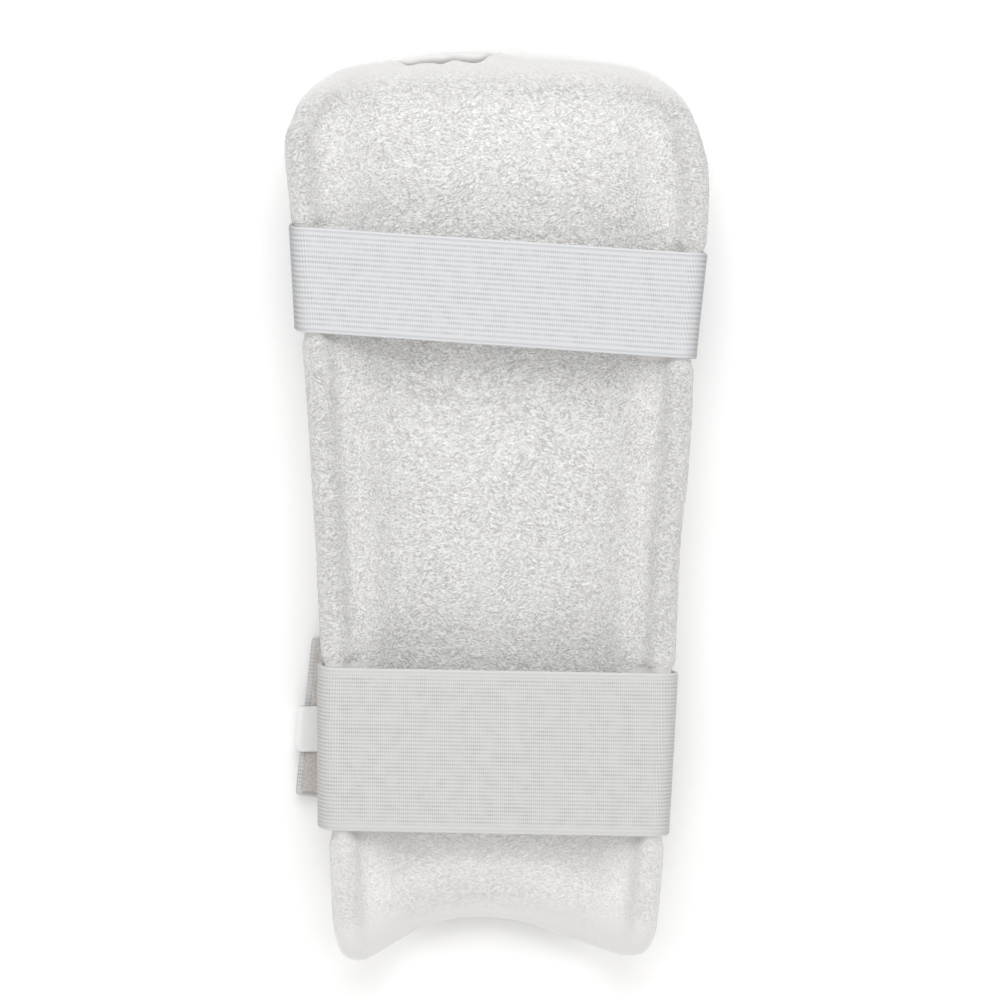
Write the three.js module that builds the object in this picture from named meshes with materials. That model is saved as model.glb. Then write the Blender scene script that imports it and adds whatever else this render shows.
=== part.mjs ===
// Cricket arm guard, lying on its outer face with the towelling side up.
// Millimetres. X runs across the forearm, Y from the wrist end to the elbow end, Z up.
// The origin lies under the middle of the guard, on the surface that it rests on.
import * as THREE from "three";

// Guard: a padded channel that wraps the forearm
const GUARD_LENGTH = 275; // elbow edge to the tips of the wrist lobes
const ELBOW_WIDTH = 131; // nominal width at the elbow edge
const WRIST_WIDTH = 97; // nominal width at the wrist edge
const ELBOW_RISE = 22; // how far the side walls rise at the elbow edge
const WRIST_RISE = 18; // and at the wrist edge
const BELLY_WIDTH = 52; // flat middle of the outer face
const BELLY_FOLD = 0.3; // share of the section's steps that the flat middle takes
const WALL_FULLNESS = 2; // 2 bends the walls up as an ellipse, more makes them boxier
const WALL_TURN = 30; // degrees that the section turns from the belly to the rim

// Layers of the guard, from the outer face in
const PAD_WALL = 9; // facing and foam in the middle
const PAD_EDGE = 3.2; // foam edge inside the rolled rim
const EDGE_TAPER = 16; // width over which the pad thins to its edge
const TOWEL_WALL = 2.4; // towelling with its pile
const SEWN_GAP = 0.3; // between pieces that lie on each other
const TURN_IN = 60; // degrees that the towelling turns over the rim
const SEAM_OPEN = 8; // degrees between the towelling's edge and the facing's edge

// Elastic straps and their hook and loop fastening
const STRAP_WALL = 1.6;
const STRAP_GAP = 0.5; // strap to the face that it is stretched over
const UPPER_STRAP_WIDTH = 31;
const LOWER_STRAP_WIDTH = 50;
const FIXED_END_FOLD = 0.62; // where on the section a strap's sewn end lies, belly 0 to rim 1
const TAPE_WALL = 1.1; // hook tape, and loop tape
const TAPE_MARGIN = 2; // a tape's long edge inside the strap's edge
const TAPE_HEM = 2.4; // bare hem between the hook tape and the strap's free end
const PATCH_LENGTH = 40; // loop patch along the strap
const TAIL_LIFT = 3.2; // the lower strap's free end springs up off the belly
const TAIL_END = -59.4; // where the free end stops, left of the middle
const TAIL_SLANT = 6; // degrees that the free end's edge leans
const UPPER_STRAP_END = -23; // the upper strap ends here, under the belly

// Folded tab round the free end
const TAB_WIDTH = 14; // along the strap's end edge
const TAB_REACH = 6.6; // how far it lies over the strap
const TAB_WALL = 0.6;
const TAB_OFFSET = -3.3; // tab's middle from the strap's middle

// Side edges of the guard, as shares of the nominal half width, from wrist 0 to elbow 1
const SIDES = [
  { along: -0.04, left: -1.005, right: 0.97 },
  { along: 0.054, left: -1.003, right: 0.983 },
  { along: 0.136, left: -0.992, right: 0.995 },
  { along: 0.352, left: -0.977, right: 0.991 },
  { along: 0.441, left: -0.971, right: 0.983 },
  { along: 0.491, left: -0.97, right: 0.987 },
  { along: 0.55, left: -0.97, right: 1.003 },
  { along: 0.602, left: -0.971, right: 0.999 },
  { along: 0.652, left: -0.974, right: 0.989 },
  { along: 0.745, left: -0.984, right: 1.006 },
  { along: 0.824, left: -0.996, right: 1.02 },
  { along: 0.88, left: -1.0, right: 1.0 },
  { along: 0.94, left: -1.0, right: 0.985 },
  { along: 1.05, left: -1.0, right: 0.98 },
];
const RIGHT_CORNERS = { wrist: 0.06, elbow: 0.87 }; // where the side ends and a corner begins
const LEFT_CORNERS = { wrist: 0.06, elbow: 0.9 };

// Elbow edge from the right corner to the left one, and wrist edge from left to right
const ELBOW_EDGE = [
  { across: 0.967, along: 0.9 },
  { across: 0.925, along: 0.926 },
  { across: 0.863, along: 0.951, corner: true },
  { across: 0.775, along: 0.971 },
  { across: 0.671, along: 0.985 },
  { across: 0.495, along: 0.995 },
  { across: 0.2, along: 0.999 },
  { across: -0.2, along: 1.0 },
  { across: -0.445, along: 0.998 },
  { across: -0.592, along: 0.993 },
  { across: -0.731, along: 0.984 },
  { across: -0.836, along: 0.968 },
  { across: -0.919, along: 0.948, corner: true },
  { across: -0.975, along: 0.927 },
];
const WRIST_EDGE = [
  { across: -0.993, along: 0.028 },
  { across: -0.957, along: 0.008, corner: true },
  { across: -0.866, along: 0.0 },
  { across: -0.772, along: 0.004 },
  { across: -0.646, along: 0.015 },
  { across: -0.459, along: 0.031 },
  { across: -0.274, along: 0.041 },
  { across: -0.043, along: 0.043 },
  { across: 0.202, along: 0.036 },
  { across: 0.399, along: 0.023 },
  { across: 0.623, along: 0.01 },
  { across: 0.809, along: 0.004 },
  { across: 0.924, along: 0.011, corner: true },
  { across: 0.972, along: 0.031 },
];

// Where each strap's middle crosses the rims, and where it ends, as shares of the length
const UPPER_ROUTE = { left: 0.7505, right: 0.722, end: 0.787 };
const LOWER_ROUTE = { left: 0.2385, right: 0.2313, end: 0.266 };

// Steps of the meshes
const STEPS_ACROSS = 24;
const STEPS_ALONG = 22;
const RIM_STEPS = 4;
const STRAP_STEPS = 3; // across a strap's width
const WALL_STEPS = 7;
const CHORD_STEPS = 2;
const SIDE_STEPS = 12; // outline points on each side
const RUN_SAMPLES = 160;
const SMALL_FOLD = 1e-3; // steps that a slope is measured over
const SMALL_LENGTH = 1;
const SIDE_PULL = 3; // how closely the side runs' shape stays by the sides

// Sizes that follow
const EDGE_HALF = PAD_EDGE / 2;
const RIM_RADIUS = EDGE_HALF + SEWN_GAP + TOWEL_WALL;
const INNER_PAD = PAD_WALL - RIM_RADIUS;
const FASTENING = 2 * TAPE_WALL + 3 * SEWN_GAP; // facing to strap, with both tapes between
const BELLY_MIDDLE = STRAP_WALL + FASTENING + RIM_RADIUS;
const HALF_BELLY = BELLY_WIDTH / 2;
const TURN = THREE.MathUtils.degToRad(WALL_TURN);
const POWER = 2 / WALL_FULLNESS;

const lerp = THREE.MathUtils.lerp;
const ease = (share) => THREE.MathUtils.smoothstep(share, 0, 1);
const steps = (count) => Array.from({ length: count + 1 }, (_, i) => i / count);

// Lengths from shares
const lengthAt = (along) => (along - 0.5) * GUARD_LENGTH;
const shareAt = (y) => y / GUARD_LENGTH + 0.5;
const halfWidthAt = (y) => lerp(WRIST_WIDTH, ELBOW_WIDTH, shareAt(y)) / 2;
const riseAt = (y) => lerp(WRIST_RISE, ELBOW_RISE, shareAt(y));

// A smooth line through one column of the table of sides
function sideCurve(column) {
  const points = SIDES.map((row) => new THREE.Vector2(row.along, row[column]));
  const spline = new THREE.SplineCurve(points);
  const samples = spline.getPoints(RUN_SAMPLES);
  return (y) => {
    const along = THREE.MathUtils.clamp(shareAt(y), samples[0].x, samples[RUN_SAMPLES].x);
    const next = Math.max(1, samples.findIndex((sample) => sample.x >= along));
    const before = samples[next - 1];
    const after = samples[next];
    const share = (along - before.x) / (after.x - before.x);
    return lerp(before.y, after.y, share) * halfWidthAt(y);
  };
}
const leftEdge = sideCurve("left");
const rightEdge = sideCurve("right");

// Outline seen from above: the four runs between the corners, set in by the rim's radius
function edgePoints(rows) {
  return rows.map(({ across, along }) => {
    const y = lengthAt(along);
    return new THREE.Vector2(across * halfWidthAt(y), y);
  });
}

function sidePoints(edge, from, to) {
  return steps(SIDE_STEPS).map((share) => {
    const y = lengthAt(lerp(from, to, share));
    return new THREE.Vector2(edge(y), y);
  });
}

function outline() {
  const sides = {
    right: sidePoints(rightEdge, RIGHT_CORNERS.wrist, RIGHT_CORNERS.elbow),
    left: sidePoints(leftEdge, LEFT_CORNERS.elbow, LEFT_CORNERS.wrist),
  };
  const elbow = edgePoints(ELBOW_EDGE);
  const wrist = edgePoints(WRIST_EDGE);
  const corners = [ELBOW_EDGE, WRIST_EDGE].map((rows) => rows.flatMap((row, i) => (row.corner ? [i] : [])));
  const points = [...sides.right, ...elbow, ...sides.left, ...wrist];
  const elbowStart = sides.right.length;
  const wristStart = elbowStart + elbow.length + sides.left.length;
  const curve = new THREE.CatmullRomCurve3(
    points.map((point) => new THREE.Vector3(point.x, point.y, 0)),
    true,
    "centripetal",
  );
  const at = (index) => index / points.length;
  const marks = [
    at(elbowStart + corners[0][0]),
    at(elbowStart + corners[0][1]),
    at(wristStart + corners[1][0]),
    at(wristStart + corners[1][1]),
  ];
  return { curve, marks };
}

// Even steps along a run of the outline, each moved in by the rim's radius
function insetRun(curve, from, to, count) {
  const dense = steps(RUN_SAMPLES).map((share) => {
    const t = (lerp(from, to, share) + 1) % 1;
    const tangent = curve.getTangent(t);
    const point = curve.getPoint(t);
    return new THREE.Vector2(point.x - tangent.y * RIM_RADIUS, point.y + tangent.x * RIM_RADIUS);
  });
  const reach = [0];
  dense.slice(1).forEach((point, i) => reach.push(reach[i] + point.distanceTo(dense[i])));
  return steps(count).map((share) => {
    const target = share * reach[RUN_SAMPLES];
    const next = THREE.MathUtils.clamp(reach.filter((value) => value < target).length, 1, RUN_SAMPLES);
    const part = (target - reach[next - 1]) / (reach[next] - reach[next - 1]);
    return dense[next - 1].clone().lerp(dense[next], part);
  });
}

// The section: a flat belly and walls that turn up, as a fold from -1 at the left rim to 1
function wallSpan(side, y) {
  const edge = side < 0 ? -leftEdge(y) : rightEdge(y);
  return edge - RIM_RADIUS - HALF_BELLY;
}

function foldAt(x, y) {
  const side = Math.sign(x) || 1;
  const past = Math.abs(x) - HALF_BELLY;
  if (past <= 0) return (x / HALF_BELLY) * BELLY_FOLD;
  const turn = Math.asin(Math.min(1, Math.sin(TURN) * (past / wallSpan(side, y)) ** (1 / POWER)));
  return side * (BELLY_FOLD + (1 - BELLY_FOLD) * (turn / TURN));
}

function middleAt(fold, y) {
  const side = Math.sign(fold) || 1;
  const past = Math.abs(fold) - BELLY_FOLD;
  if (past <= 0) return new THREE.Vector3((fold / BELLY_FOLD) * HALF_BELLY, y, BELLY_MIDDLE);
  const turn = (past / (1 - BELLY_FOLD)) * TURN;
  const out = (Math.sin(turn) / Math.sin(TURN)) ** POWER;
  const up = (1 - Math.cos(turn) ** POWER) / (1 - Math.cos(TURN) ** POWER);
  return new THREE.Vector3(side * (HALF_BELLY + wallSpan(side, y) * out), y, BELLY_MIDDLE + riseAt(y) * up);
}

function inwardAt(fold, y) {
  const across = middleAt(fold + SMALL_FOLD, y).sub(middleAt(fold - SMALL_FOLD, y));
  const along = middleAt(fold, y + SMALL_LENGTH).sub(middleAt(fold, y - SMALL_LENGTH));
  return across.cross(along).normalize();
}

// The middle of the wall as a grid, fitted between the four inset runs
function wallGrid() {
  const { curve, marks } = outline();
  const [elbowRight, elbowLeft, wristLeft, wristRight] = marks;
  const toFold = (run) => run.map((point) => new THREE.Vector2(foldAt(point.x, point.y), point.y));
  const elbow = toFold(insetRun(curve, elbowLeft, elbowRight, STEPS_ACROSS));
  const wrist = toFold(insetRun(curve, wristLeft, wristRight, STEPS_ACROSS));
  const left = toFold(insetRun(curve, wristLeft, elbowLeft, STEPS_ALONG));
  const right = toFold(insetRun(curve, wristRight - 1, elbowRight, STEPS_ALONG));
  const grid = [];
  for (let j = 0; j <= STEPS_ALONG; j += 1) {
    const up = j / STEPS_ALONG;
    grid.push([]);
    for (let i = 0; i <= STEPS_ACROSS; i += 1) {
      const over = i / STEPS_ACROSS;
      const leftPull = left[j].clone().sub(wrist[0].clone().lerp(elbow[0], up));
      const rightPull = right[j].clone().sub(wrist[STEPS_ACROSS].clone().lerp(elbow[STEPS_ACROSS], up));
      const place = wrist[i]
        .clone()
        .lerp(elbow[i], up)
        .addScaledVector(leftPull, (1 - over) ** SIDE_PULL)
        .addScaledVector(rightPull, over ** SIDE_PULL);
      grid[j].push({ middle: middleAt(place.x, place.y), inward: inwardAt(place.x, place.y) });
    }
  }
  return grid;
}

// Each grid point's way to the edge, which sets how thick the pad is there
function addPadding(grid) {
  const reach = (cells) => {
    const sums = [0];
    cells.slice(1).forEach((cell, i) => sums.push(sums[i] + cell.middle.distanceTo(cells[i].middle)));
    const total = sums[sums.length - 1];
    return sums.map((sum) => Math.min(sum, total - sum));
  };
  const acrossReach = grid.map(reach);
  const alongReach = grid[0].map((_, i) => reach(grid.map((row) => row[i])));
  grid.forEach((row, j) => {
    row.forEach((cell, i) => {
      const share = ease(acrossReach[j][i] / EDGE_TAPER) * ease(alongReach[i][j] / EDGE_TAPER);
      cell.padding = lerp(EDGE_HALF, INNER_PAD, share);
    });
  });
}

// The rim runs once round the grid, and each of its points knows the way out over the edge
function rimOf(grid) {
  const loop = [];
  for (let i = 0; i < STEPS_ACROSS; i += 1) loop.push([0, i]);
  for (let j = 0; j < STEPS_ALONG; j += 1) loop.push([j, STEPS_ACROSS]);
  for (let i = STEPS_ACROSS; i > 0; i -= 1) loop.push([STEPS_ALONG, i]);
  for (let j = STEPS_ALONG; j > 0; j -= 1) loop.push([j, 0]);
  return loop.map(([j, i], k) => {
    const [jBefore, iBefore] = loop[(k + loop.length - 1) % loop.length];
    const [jAfter, iAfter] = loop[(k + 1) % loop.length];
    const cell = grid[j][i];
    const along = grid[jAfter][iAfter].middle.clone().sub(grid[jBefore][iBefore].middle);
    const outward = along.cross(cell.inward).normalize();
    return { j, i, middle: cell.middle, inward: cell.inward, outward };
  });
}

// A closed mesh from named rows of points
class Shell {
  constructor() {
    this.points = [];
    this.triangles = [];
  }

  addRow(points) {
    return points.map((point) => this.points.push(point) - 1);
  }

  // Joins two rows, facing out when the second row lies to the left of the first.
  // Layers that lie on each other share their diagonals, so their facets stay parallel.
  join(first, second, { closed = false, crossed = false } = {}) {
    const last = closed ? first.length : first.length - 1;
    for (let k = 0; k < last; k += 1) {
      const next = (k + 1) % first.length;
      const [a, b, c, d] = [first[k], first[next], second[next], second[k]];
      if (crossed) this.triangles.push(a, b, d, b, c, d);
      else this.triangles.push(a, b, c, a, c, d);
    }
  }

  geometry() {
    const geometry = new THREE.BufferGeometry();
    const position = this.points.flatMap((point) => point.toArray());
    geometry.setAttribute("position", new THREE.Float32BufferAttribute(position, 3));
    geometry.setIndex(this.triangles);
    geometry.computeVertexNormals();
    return geometry;
  }
}

// One layer of the guard: an upper face, a lower face, and a rim profile that joins them.
// The profile is a list of { angle, radius } round the rim, from the upper face to the lower,
// and its first steps, outerSteps of them, run outwards.
function layerGeometry(grid, rim, upper, lower, profile, outerSteps) {
  const shell = new Shell();
  const face = (offset) =>
    grid.map((row) => shell.addRow(row.map((cell) => cell.middle.clone().addScaledVector(cell.inward, offset(cell)))));
  const top = face(upper);
  const bottom = face(lower);
  for (let j = 0; j < STEPS_ALONG; j += 1) {
    shell.join(top[j], top[j + 1]);
    shell.join(bottom[j + 1], bottom[j], { crossed: true });
  }
  const ring = (rows) => rim.map(({ j, i }) => rows[j][i]);
  const rolls = profile.map(({ angle, radius }) => {
    const turn = THREE.MathUtils.degToRad(angle);
    const points = rim.map(({ middle, inward, outward }) =>
      middle
        .clone()
        .addScaledVector(outward, Math.cos(turn) * radius)
        .addScaledVector(inward, Math.sin(turn) * radius),
    );
    return shell.addRow(points);
  });
  const rings = [ring(top), ...rolls, ring(bottom)];
  rings.slice(1).forEach((next, k) => {
    const crossed = k + 1 > outerSteps;
    shell.join(next, rings[k], { closed: true, crossed });
  });
  return shell.geometry();
}

const sweep = (from, to, count, radius) =>
  steps(count).map((share) => ({ angle: lerp(from, to, share), radius }));

function liningGeometry(grid, rim) {
  const under = EDGE_HALF + SEWN_GAP;
  const profile = [
    ...sweep(90, -TURN_IN, RIM_STEPS, RIM_RADIUS).slice(1),
    ...sweep(-TURN_IN, 90, RIM_STEPS, under).slice(0, -1),
  ];
  const upper = (cell) => cell.padding + SEWN_GAP + TOWEL_WALL;
  const lower = (cell) => cell.padding + SEWN_GAP;
  return layerGeometry(grid, rim, upper, lower, profile, RIM_STEPS);
}

function padGeometry(grid, rim) {
  const seam = -TURN_IN - SEAM_OPEN;
  const profile = [
    ...sweep(90, seam, RIM_STEPS, EDGE_HALF).slice(1),
    { angle: seam, radius: RIM_RADIUS },
  ];
  return layerGeometry(grid, rim, (cell) => cell.padding, () => -RIM_RADIUS, profile, profile.length);
}

// A strap's inner face at one place across its width, as points with the way off the guard.
// It starts at the sewn end on the left wall and goes over the top to the free end.
function wallStation(fold, y, clearance) {
  const outward = inwardAt(fold, y).negate();
  outward.y = 0;
  outward.normalize();
  const point = middleAt(fold, y).addScaledVector(outward, RIM_RADIUS + clearance);
  return { point, outward };
}

function rimStations(side, y) {
  const centre = middleAt(side, y);
  const start = inwardAt(side, y).negate();
  const from = Math.atan2(start.z, start.x * side);
  return steps(RIM_STEPS).map((share) => {
    const turn = lerp(from, Math.PI / 2, share);
    const outward = new THREE.Vector3(Math.cos(turn) * side, 0, Math.sin(turn));
    const point = centre.clone().addScaledVector(outward, RIM_RADIUS + STRAP_GAP);
    return { point, outward };
  });
}

// Under the guard a strap's middle runs straight from the right rim to its end
function returnY(route, end, x) {
  const rimX = rightEdge(lengthAt(route.right)) + STRAP_GAP;
  return lengthAt(lerp(route.right, route.end, (rimX - x) / (rimX - end.x)));
}

const bellyStation = (route, end, x, shift) => ({
  point: new THREE.Vector3(x, returnY(route, end, x) + shift, STRAP_WALL),
  outward: new THREE.Vector3(0, 0, -1),
});

function strapStations(route, width, over, end) {
  const shift = (over * width) / 2;
  const yLeft = lengthAt(route.left) + shift;
  const yRight = lengthAt(route.right) + shift;
  const sewn = steps(WALL_STEPS).map((share) =>
    wallStation(-lerp(FIXED_END_FOLD, 1, share), yLeft, STRAP_GAP),
  );
  const leftRim = rimStations(-1, yLeft).slice(1);
  const rightRim = rimStations(1, yRight).reverse();
  const from = leftRim[leftRim.length - 1].point;
  const to = rightRim[0].point;
  const chord = steps(CHORD_STEPS)
    .slice(1, -1)
    .map((share) => ({ point: from.clone().lerp(to, share), outward: new THREE.Vector3(0, 0, 1) }));
  const returning = steps(WALL_STEPS)
    .slice(1)
    .map((share) => {
      const fold = lerp(1, BELLY_FOLD, share);
      const clearance = lerp(STRAP_GAP, FASTENING, ease(share));
      const y = returnY(route, end, middleAt(fold, yRight).x) + shift;
      return wallStation(fold, y, clearance);
    });
  const belly = bellyStation(route, end, end.tail ? -HALF_BELLY : end.x, shift);
  const stations = [...sewn, ...leftRim, ...chord, ...rightRim, ...returning, belly];
  return end.tail ? [...stations, tipStation(route, end, shift)] : stations;
}

// The free end, sprung up off the surface below it
function tipStation(route, end, shift) {
  const slant = Math.tan(THREE.MathUtils.degToRad(TAIL_SLANT)) * shift;
  const y = returnY(route, end, end.x) + shift;
  const point = new THREE.Vector3(end.x + slant, y, STRAP_WALL + TAIL_LIFT);
  const outward = new THREE.Vector3(-TAIL_LIFT, 0, end.x + HALF_BELLY).normalize();
  return { point, outward };
}

// A band between two distances from a line of stations, for each row across its width
function bandGeometry(rows, inner, outer) {
  const shell = new Shell();
  const face = (distance) =>
    rows.map((stations) =>
      shell.addRow(stations.map(({ point, outward }) => point.clone().addScaledVector(outward, distance))),
    );
  const near = face(inner);
  const far = face(outer);
  const last = rows.length - 1;
  for (let k = 0; k < last; k += 1) {
    shell.join(far[k], far[k + 1]);
    shell.join(near[k + 1], near[k]);
  }
  shell.join(near[0], far[0]);
  shell.join(far[last], near[last]);
  const ends = (index) => [near.map((row) => row.at(index)), far.map((row) => row.at(index))];
  const [nearStart, farStart] = ends(0);
  const [nearStop, farStop] = ends(-1);
  shell.join(farStart, nearStart);
  shell.join(nearStop, farStop);
  return shell.geometry();
}

const acrossStrap = (from, to, count) => steps(count).map((share) => lerp(from, to, share));

const UPPER_END = { x: UPPER_STRAP_END, tail: false };
const LOWER_END = { x: TAIL_END, tail: true };

function upperStrapGeometry() {
  const rows = acrossStrap(-1, 1, STRAP_STEPS).map((over) =>
    strapStations(UPPER_ROUTE, UPPER_STRAP_WIDTH, over, UPPER_END),
  );
  return bandGeometry(rows, 0, STRAP_WALL);
}

function lowerStrapGeometry() {
  const rows = acrossStrap(-1, 1, STRAP_STEPS).map((over) =>
    strapStations(LOWER_ROUTE, LOWER_STRAP_WIDTH, over, LOWER_END),
  );
  return bandGeometry(rows, 0, STRAP_WALL);
}

// The lower strap from a place on the belly to a hem's width before its tip
function tailStations(over, from, hem) {
  const shift = (over * LOWER_STRAP_WIDTH) / 2;
  const start = bellyStation(LOWER_ROUTE, LOWER_END, from, shift);
  const bend = bellyStation(LOWER_ROUTE, LOWER_END, -HALF_BELLY, shift);
  const tip = tipStation(LOWER_ROUTE, LOWER_END, shift);
  const along = tip.point.clone().sub(bend.point).normalize();
  const stop = { point: tip.point.clone().addScaledVector(along, -hem), outward: tip.outward };
  return [start, bend, stop];
}

function hookTapeGeometry() {
  const edge = 1 - (2 * TAPE_MARGIN) / LOWER_STRAP_WIDTH;
  const rows = acrossStrap(-edge, edge, 1).map((over) => tailStations(over, PATCH_LENGTH / 2, TAPE_HEM));
  return bandGeometry(rows, -SEWN_GAP - TAPE_WALL, -SEWN_GAP);
}

// The tab lies under the free end, turns round its edge and comes back over it
function tabGeometry() {
  const half = TAB_WIDTH / LOWER_STRAP_WIDTH;
  const middle = (2 * TAB_OFFSET) / LOWER_STRAP_WIDTH;
  const overTape = SEWN_GAP + TAPE_WALL + SEWN_GAP;
  const rows = acrossStrap(middle - half, middle + half, 1).map((over) => {
    const tip = tipStation(LOWER_ROUTE, LOWER_END, (over * LOWER_STRAP_WIDTH) / 2);
    const down = tip.outward;
    const up = down.clone().negate();
    const along = new THREE.Vector3(down.z, 0, -down.x);
    const place = (reach, depth) => tip.point.clone().addScaledVector(along, reach).addScaledVector(down, depth);
    const corner = (outward) => outward.clone().add(along);
    return [
      { point: place(-TAB_REACH, STRAP_WALL + SEWN_GAP), outward: down },
      { point: place(SEWN_GAP, STRAP_WALL + SEWN_GAP), outward: corner(down) },
      { point: place(SEWN_GAP, -overTape), outward: corner(up) },
      { point: place(-TAB_REACH, -overTape), outward: up },
    ];
  });
  return bandGeometry(rows, 0, TAB_WALL);
}

// A plate on the belly under a strap, in line with it
function patch(name, route, strapWidth, end, thickness, material) {
  const box = new THREE.BoxGeometry(PATCH_LENGTH, strapWidth - 2 * TAPE_MARGIN, thickness);
  const mesh = new THREE.Mesh(box, material);
  const middle = returnY(route, end, 0);
  mesh.name = name;
  mesh.rotation.z = Math.atan(returnY(route, end, SMALL_LENGTH) - middle);
  mesh.position.set(0, middle, BELLY_MIDDLE - RIM_RADIUS - SEWN_GAP - thickness / 2);
  return mesh;
}

// Finishes
const finish = (color, roughness) => new THREE.MeshStandardMaterial({ color, roughness, metalness: 0 });
const facingFinish = finish(0xe1dfe0, 0.45);
const towelFinish = finish(0xe4e3e2, 1);
const elasticFinish = finish(0xdadadc, 0.85);
const tapeFinish = finish(0xb7b3af, 0.9);
const loopFinish = finish(0xdcdcdc, 1);
const tabFinish = finish(0xefefef, 0.6);

function piece(name, geometry, material) {
  const mesh = new THREE.Mesh(geometry, material);
  mesh.name = name;
  return mesh;
}

const grid = wallGrid();
addPadding(grid);
const rim = rimOf(grid);
const closedFastening = 2 * TAPE_WALL + SEWN_GAP;

const guard = new THREE.Group();
guard.add(
  piece("padded_facing", padGeometry(grid, rim), facingFinish),
  piece("towel_lining", liningGeometry(grid, rim), towelFinish),
  piece("upper_strap", upperStrapGeometry(), elasticFinish),
  piece("lower_strap", lowerStrapGeometry(), elasticFinish),
  piece("lower_hook_tape", hookTapeGeometry(), tapeFinish),
  patch("lower_loop_patch", LOWER_ROUTE, LOWER_STRAP_WIDTH, LOWER_END, TAPE_WALL, loopFinish),
  patch("upper_fastening_patch", UPPER_ROUTE, UPPER_STRAP_WIDTH, UPPER_END, closedFastening, loopFinish),
  piece("strap_tab", tabGeometry(), tabFinish),
);

const box = new THREE.Box3().setFromObject(guard);
const middle = box.getCenter(new THREE.Vector3());
guard.position.set(-middle.x, -middle.y, -box.min.z);

export default guard;
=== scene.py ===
import math

import bpy
import numpy as np
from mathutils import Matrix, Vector, noise


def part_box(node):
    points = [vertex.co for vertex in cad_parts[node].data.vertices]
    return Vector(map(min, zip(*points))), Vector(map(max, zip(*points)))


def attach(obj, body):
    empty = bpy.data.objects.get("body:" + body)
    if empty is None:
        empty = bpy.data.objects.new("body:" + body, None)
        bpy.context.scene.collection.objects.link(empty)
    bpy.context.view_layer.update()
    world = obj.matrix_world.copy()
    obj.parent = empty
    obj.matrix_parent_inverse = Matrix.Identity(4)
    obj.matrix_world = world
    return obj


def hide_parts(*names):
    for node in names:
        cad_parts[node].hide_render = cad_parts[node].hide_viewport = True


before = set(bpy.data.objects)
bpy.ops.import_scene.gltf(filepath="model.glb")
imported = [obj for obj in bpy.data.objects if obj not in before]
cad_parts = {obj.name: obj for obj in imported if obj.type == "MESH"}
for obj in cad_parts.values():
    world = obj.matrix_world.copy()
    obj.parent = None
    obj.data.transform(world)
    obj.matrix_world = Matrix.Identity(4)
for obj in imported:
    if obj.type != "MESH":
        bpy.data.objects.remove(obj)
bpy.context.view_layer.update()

MM = 0.001
BODY = "root"

# The guard's own sizes, in millimetres, as in the solids
GUARD_LENGTH = 275
ELBOW_WIDTH = 131
WRIST_WIDTH = 97
ELBOW_RISE = 22
WRIST_RISE = 18
BELLY_WIDTH = 52
BELLY_FOLD = 0.3
WALL_FULLNESS = 2
WALL_TURN = math.radians(30)
PAD_WALL = 9
PAD_EDGE = 3.2
EDGE_TAPER = 16
TOWEL_WALL = 2.4
SEWN_GAP = 0.3
TURN_IN = 60
SEAM_OPEN = 8
STRAP_WALL = 1.6
STRAP_GAP = 0.5
UPPER_STRAP_WIDTH = 31
LOWER_STRAP_WIDTH = 50
FIXED_END_FOLD = 0.62
TAPE_WALL = 1.1
TAPE_MARGIN = 2
TAPE_HEM = 2.4
PATCH_LENGTH = 40
TAIL_LIFT = 3.2
TAIL_END = -59.4
TAIL_SLANT = math.radians(6)
UPPER_STRAP_END = -23
TAB_WIDTH = 14
TAB_REACH = 6.6
TAB_WALL = 0.6
TAB_OFFSET = -3.3

EDGE_HALF = PAD_EDGE / 2
RIM_RADIUS = EDGE_HALF + SEWN_GAP + TOWEL_WALL
INNER_PAD = PAD_WALL - RIM_RADIUS
FASTENING = 2 * TAPE_WALL + 3 * SEWN_GAP
BELLY_MIDDLE = STRAP_WALL + FASTENING + RIM_RADIUS
HALF_BELLY = BELLY_WIDTH / 2
POWER = 2 / WALL_FULLNESS
UPPER_ELASTIC_WIDTH = UPPER_STRAP_WIDTH + 0.6
LOWER_ELASTIC_WIDTH = LOWER_STRAP_WIDTH - 1

# Side edges: along the guard, and the left and right edge as shares of the half width
SIDES = np.array([
    (-0.04, -1.005, 0.97), (0.054, -1.003, 0.983), (0.136, -0.992, 0.995), (0.352, -0.977, 0.991),
    (0.441, -0.971, 0.983), (0.491, -0.97, 0.987), (0.55, -0.97, 1.003), (0.602, -0.971, 0.999),
    (0.652, -0.974, 0.989), (0.745, -0.984, 1.006), (0.824, -0.996, 1.02), (0.88, -1.0, 1.0),
    (0.94, -1.0, 0.985), (1.05, -1.0, 0.98)])

# Where the side edges start and stop, before the rounded corners
RIGHT_RUN = (0.06, 0.87)
LEFT_RUN = (0.9, 0.06)

# Elbow edge from right to left, and wrist edge from left to right, as (across, along)
ELBOW_EDGE = np.array([
    (0.967, 0.9), (0.925, 0.926), (0.863, 0.951), (0.775, 0.971), (0.671, 0.985), (0.495, 0.995),
    (0.2, 0.999), (-0.2, 1.0), (-0.445, 0.998), (-0.592, 0.993), (-0.731, 0.984), (-0.836, 0.968),
    (-0.914, 0.949), (-0.962, 0.925)])
WRIST_EDGE = np.array([
    (-0.993, 0.028), (-0.957, 0.008), (-0.866, 0.0), (-0.772, 0.004), (-0.646, 0.015), (-0.459, 0.031),
    (-0.274, 0.041), (-0.043, 0.043), (0.202, 0.036), (0.399, 0.023), (0.623, 0.01), (0.809, 0.004),
    (0.924, 0.011), (0.972, 0.031)])

# The rows of both that are the corners of the towelling's grid
ELBOW_CORNERS = (2, 12)
WRIST_CORNERS = (1, 12)

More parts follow.
